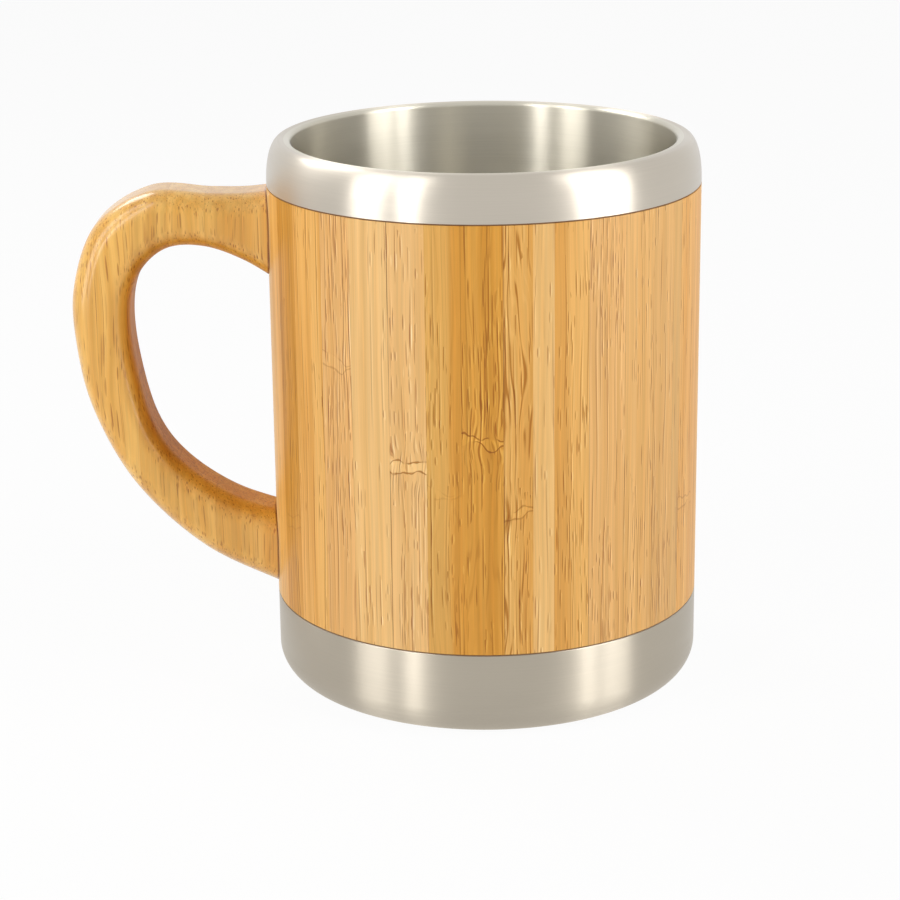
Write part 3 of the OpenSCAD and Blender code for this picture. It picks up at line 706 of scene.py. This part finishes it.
def handle_bamboo(name, pale, deep):
    """Lacquered bamboo as a solid, in Object coordinates in millimetres. Broad bands of two tones stand upright in
    it. The bundles of fibres are thin upright spindles, each in a Voronoi cell of its own: dashes on the upright
    faces, and pores where the surface is level. A fine dark line marks each glued joint, where the distance from
    the sleeve is the first strip's plus a whole number of strips."""
    material, tree, wood = paint(name)
    strip = recall(tree, "strip")
    seed, tint, pores = (strip[k] for k in "XYZ")
    spot = put(tree, "SeparateXYZ", {0: put(tree, "TexCoord").outputs["Object"]})
    x, y, z = (calc(tree, "MULTIPLY", spot.outputs[k], MM) for k in "XYZ")
    shifted = calc(tree, "ADD", y, calc(tree, "MULTIPLY", seed, 5))
    straight = put(tree, "CombineXYZ", {"X": x, "Y": shifted, "Z": z}).outputs[0]
    wander = calc(tree, "SUBTRACT", speckle(tree, straight, (0.12, 0.12, 0.035)), 0.5)
    x_felt = calc(tree, "ADD", x, calc(tree, "MULTIPLY", wander, 2.6))
    place = put(tree, "CombineXYZ", {"X": x_felt, "Y": shifted, "Z": z}).outputs[0]

    # Broad bands and the finest fibres
    bands = ramp(tree, speckle(tree, place, (0.42, 0.42, 0.012), 80), 0.30, 0.70)
    colour = mixed(tree, bands, pale, deep)
    hairs = speckle(tree, place, (4.5, 4.5, 0.10), 60, 2.0)
    streaks = speckle(tree, place, (1.6, 1.6, 0.03), 30)
    shade = calc(tree, "MULTIPLY", ramp(tree, hairs, 0.3, 0.7, 0.95, 1.04), ramp(tree, streaks, 0.3, 0.7, 0.93, 1.05))
    colour = shaded(tree, colour, calc(tree, "MULTIPLY", shade, tint))

    # Bundles of fibres, the short ones in patches, each with a painted highlight on its lit edge
    patch = ramp(tree, speckle(tree, straight, (0.25, 0.25, 0.03), 50), 0.35, 0.60, 0.5, 1.0)
    crowd = calc(tree, "MULTIPLY", patch, pores)
    relief = calc(tree, "MULTIPLY", hairs, 0.5)
    for (spacing, half_width), share in ((LONG_BUNDLES, 0.7), (SHORT_BUNDLES, crowd), (FINE_BUNDLES, 0.8)):
        dark, light = fibres(tree, place, spacing, "Z", share, half_width)
        colour = tinted(tree, tinted(tree, colour, light, BUNDLE_HIGHLIGHT), dark, BUNDLE)
        relief = calc(tree, "SUBTRACT", relief, dark)

    # The glued joints between the strips, and the glue round the roots
    past = calc(tree, "FRACT", calc(tree, "DIVIDE", calc(tree, "ADD", x, MM * (MUG_RADIUS + FIRST_STRIP)),
                                    -MM * STRIP))
    edge = calc(tree, "MULTIPLY", calc(tree, "MINIMUM", past, calc(tree, "SUBTRACT", 1.0, past)), MM * STRIP)
    glue = calc(tree, "MULTIPLY", ramp(tree, edge, 0.14, 0.02), 0.35)
    colour = tinted(tree, colour, glue, BOARD_GLUE)
    from_axis = calc(tree, "SQRT", calc(tree, "ADD", calc(tree, "MULTIPLY", x, x), calc(tree, "MULTIPLY", y, y)))
    root = ramp(tree, from_axis, MM * MUG_RADIUS + 0.5, MM * MUG_RADIUS + 0.15)
    colour = tinted(tree, colour, root, ROOT_GLUE)

    # The side that faces the opening is painted deeper and more orange in tone, as painted shade where the sleeve
    # shades it and casts its orange light back. It is also less well sanded, so it shines less
    inwards = put(tree, "VectorMath", {0: OPENING_MIDDLE, 1: put(tree, "TexCoord").outputs["Object"]},
                  operation="SUBTRACT").outputs[0]
    inwards = put(tree, "VectorMath", {0: inwards}, operation="NORMALIZE").outputs[0]
    facing = put(tree, "VectorMath", {0: inwards, 1: put(tree, "Attribute", attribute_name="round").outputs["Vector"]},
                 operation="DOT_PRODUCT").outputs["Value"]
    inner_shade_and_matt = ramp(tree, facing, 0.0, 0.6)
    colour = tinted(tree, colour, inner_shade_and_matt, INNER_SIDE_SHADE)

    tree.links.new(colour, wood.inputs["Base Color"])
    tree.links.new(calc(tree, "ADD", ramp(tree, hairs, 0.2, 0.8, 0.36, 0.48), calc(tree, "MULTIPLY", inner_shade_and_matt, 0.2)),
                   wood.inputs["Roughness"])
    wood.inputs["Specular IOR Level"].default_value = 0.27
    tree.links.new(ramp(tree, inner_shade_and_matt, 0.0, 1.0, 0.85, 0.15), wood.inputs["Coat Weight"])
    wood.inputs["Coat Roughness"].default_value = 0.2
    bump = put(tree, "Bump", {"Height": relief, "Strength": 0.3, "Distance": 0.00004})
    tree.links.new(bump.outputs[0], wood.inputs["Normal"])
    return material


grip = grip_mesh()
strip_woods = {slot: handle_bamboo(*row) for slot, row in STRIP_WOODS.items()}
joints = MUG_RADIUS + FIRST_STRIP + STRIP * np.arange(len(STRIPS) - 1)
cuts = [0, *joints, PAST_THE_GRIP]
for i, values in enumerate(STRIPS):
    piece = sawn_strip(f"handle_board_{i + 1}", grip, -cuts[i + 1], -cuts[i])
    keep(piece, "strip", values)
    slot = list(STRIP_WOODS)[i % 2]
    piece.data.materials.append(strip_woods[slot])
    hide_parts(f"handle_strip_{i + 1}")
    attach(piece, "root")


# ---- Screws
# Two countersunk steel screws with a yellow zinc plating, driven from inside the sleeve into the roots of the handle
# before the liner goes in. The liner hides them.

screw_steel, tree, steel = paint("screw_steel")
rolled = speckle(tree, put(tree, "TexCoord").outputs["Object"], (2500, 900, 900), detail=2)
tree.links.new(mixed(tree, rolled, (0.50, 0.40, 0.17), (0.66, 0.55, 0.28)), steel.inputs["Base Color"])
tree.links.new(ramp(tree, rolled, 0.2, 0.8, 0.28, 0.42), steel.inputs["Roughness"])
steel.inputs["Metallic"].default_value = 1.0
for name in ("upper_screw", "lower_screw"):
    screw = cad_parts[name]
    screw.data.materials.clear()
    screw.data.materials.append(screw_steel)


# ---- Table, light and camera
# A pale table that runs out of view, two pairs of tall soft boxes left and right of the camera, and a smaller one
# behind at the left, which looks down. The camera stands half a metre off and looks down over the rim.

TABLE_HALF = 6
# The share of plain white in the table where it is seen, and the strength of the light that the room gives
TABLE_WHITE, ROOM_LIGHT = 0.95, 0.12
LAMP_DISTANCE = 0.5
# Each soft box's name, its angle round the cup from the camera and its height, the angle by which it looks down,
# its width and its height, and its radiance
SOFT_BOXES = [
    ("soft_box_left", -61, 0.41, 0, 0.15, 0.80, 3.9), ("soft_box_left_front", -38, 0.41, 0, 0.07, 0.80, 6.2),
    ("soft_box_right_front", 53, 0.41, 0, 0.07, 0.80, 6.0), ("soft_box_right", 70, 0.41, 0, 0.15, 0.80, 4.6),
    ("soft_box_behind_left", -132, 0.56, 42, 0.24, 0.26, 8.0),
]
CAMERA_PLACE = (0, -0.50509, 0.20253)
LENS = 103.437
# The camera's turns in radians: down, to the left of the axis, and about its own view
PITCH, YAW, ROLL = 0.3013, -0.0144, -0.0113


def in_view(tree):
    """1 on the rays of the camera, of reflections and of what is seen through glass, and 0 on those that light."""
    path = put(tree, "LightPath").outputs
    return calc(tree, "MAXIMUM", path["Is Camera Ray"], calc(
        tree, "MAXIMUM", path["Is Glossy Ray"], path["Is Transmission Ray"]))


table_material, tree, paper = paint("pale_table")
paper.inputs["Roughness"].default_value = 0.9
speck = speckle(tree, put(tree, "TexCoord").outputs["Object"], (30, 30, 30), detail=2)
tree.links.new(mixed(tree, speck, (0.86, 0.86, 0.86), (0.88, 0.88, 0.88)), paper.inputs["Base Color"])
white = put(tree, "Emission", {"Color": (1, 1, 1, 1), "Strength": 1.0}).outputs[0]
blend = put(tree, "MixShader", {"Fac": calc(tree, "MULTIPLY", in_view(tree), TABLE_WHITE), 1: paper.outputs[0],
                                2: white}).outputs[0]
tree.links.new(blend, tree.nodes["Material Output"].inputs["Surface"])
table_mesh = bpy.data.meshes.new("table")
table_mesh.from_pydata([(x * TABLE_HALF, y * TABLE_HALF, 0) for x, y in ((-1, -1), (1, -1), (1, 1), (-1, 1))], [],
                       [(0, 1, 2, 3)])
table_top = bpy.data.objects.new("table", table_mesh)
table_top.data.materials.append(table_material)
bpy.context.scene.collection.objects.link(table_top)

world = bpy.data.worlds.new("studio")
world.use_nodes = True
bpy.context.scene.world = world
tree = world.node_tree
room = tree.nodes["Background"]
room.inputs["Color"].default_value = (1, 1, 1, 1)
tree.links.new(calc(tree, "ADD", ROOM_LIGHT, calc(tree, "MULTIPLY", in_view(tree), 1 - ROOM_LIGHT)),
               room.inputs["Strength"])

# A soft box's power is its radiance times pi times its area
for name, azimuth, height, dip, wide, tall, radiance in SOFT_BOXES:
    light = bpy.data.lights.new(name, "AREA")
    light.shape = "RECTANGLE"
    light.size, light.size_y = wide, tall
    light.energy = radiance * np.pi * wide * tall
    lamp = bpy.data.objects.new(name, light)
    turn = np.radians(azimuth)
    lamp.location = (LAMP_DISTANCE * np.sin(turn), -LAMP_DISTANCE * np.cos(turn), height)
    lamp.rotation_euler = (np.radians(90 - dip), 0, turn)
    bpy.context.scene.collection.objects.link(lamp)

forward = Vector((np.sin(YAW) * np.cos(PITCH), np.cos(YAW) * np.cos(PITCH), -np.sin(PITCH)))
level_right = Vector((np.cos(YAW), -np.sin(YAW), 0))
level_up = level_right.cross(forward)
right = level_right * np.cos(ROLL) + level_up * np.sin(ROLL)
upward = level_up * np.cos(ROLL) - level_right * np.sin(ROLL)
camera = bpy.data.objects.new("camera", bpy.data.cameras.new("camera"))
camera.data.lens = LENS
camera.data.clip_start = 0.01
camera.matrix_world = Matrix.Translation(CAMERA_PLACE) @ Matrix((right, upward, -forward)).transposed().to_4x4()
bpy.context.scene.collection.objects.link(camera)
bpy.context.scene.camera = camera
bpy.context.scene.view_settings.view_transform = "Standard"
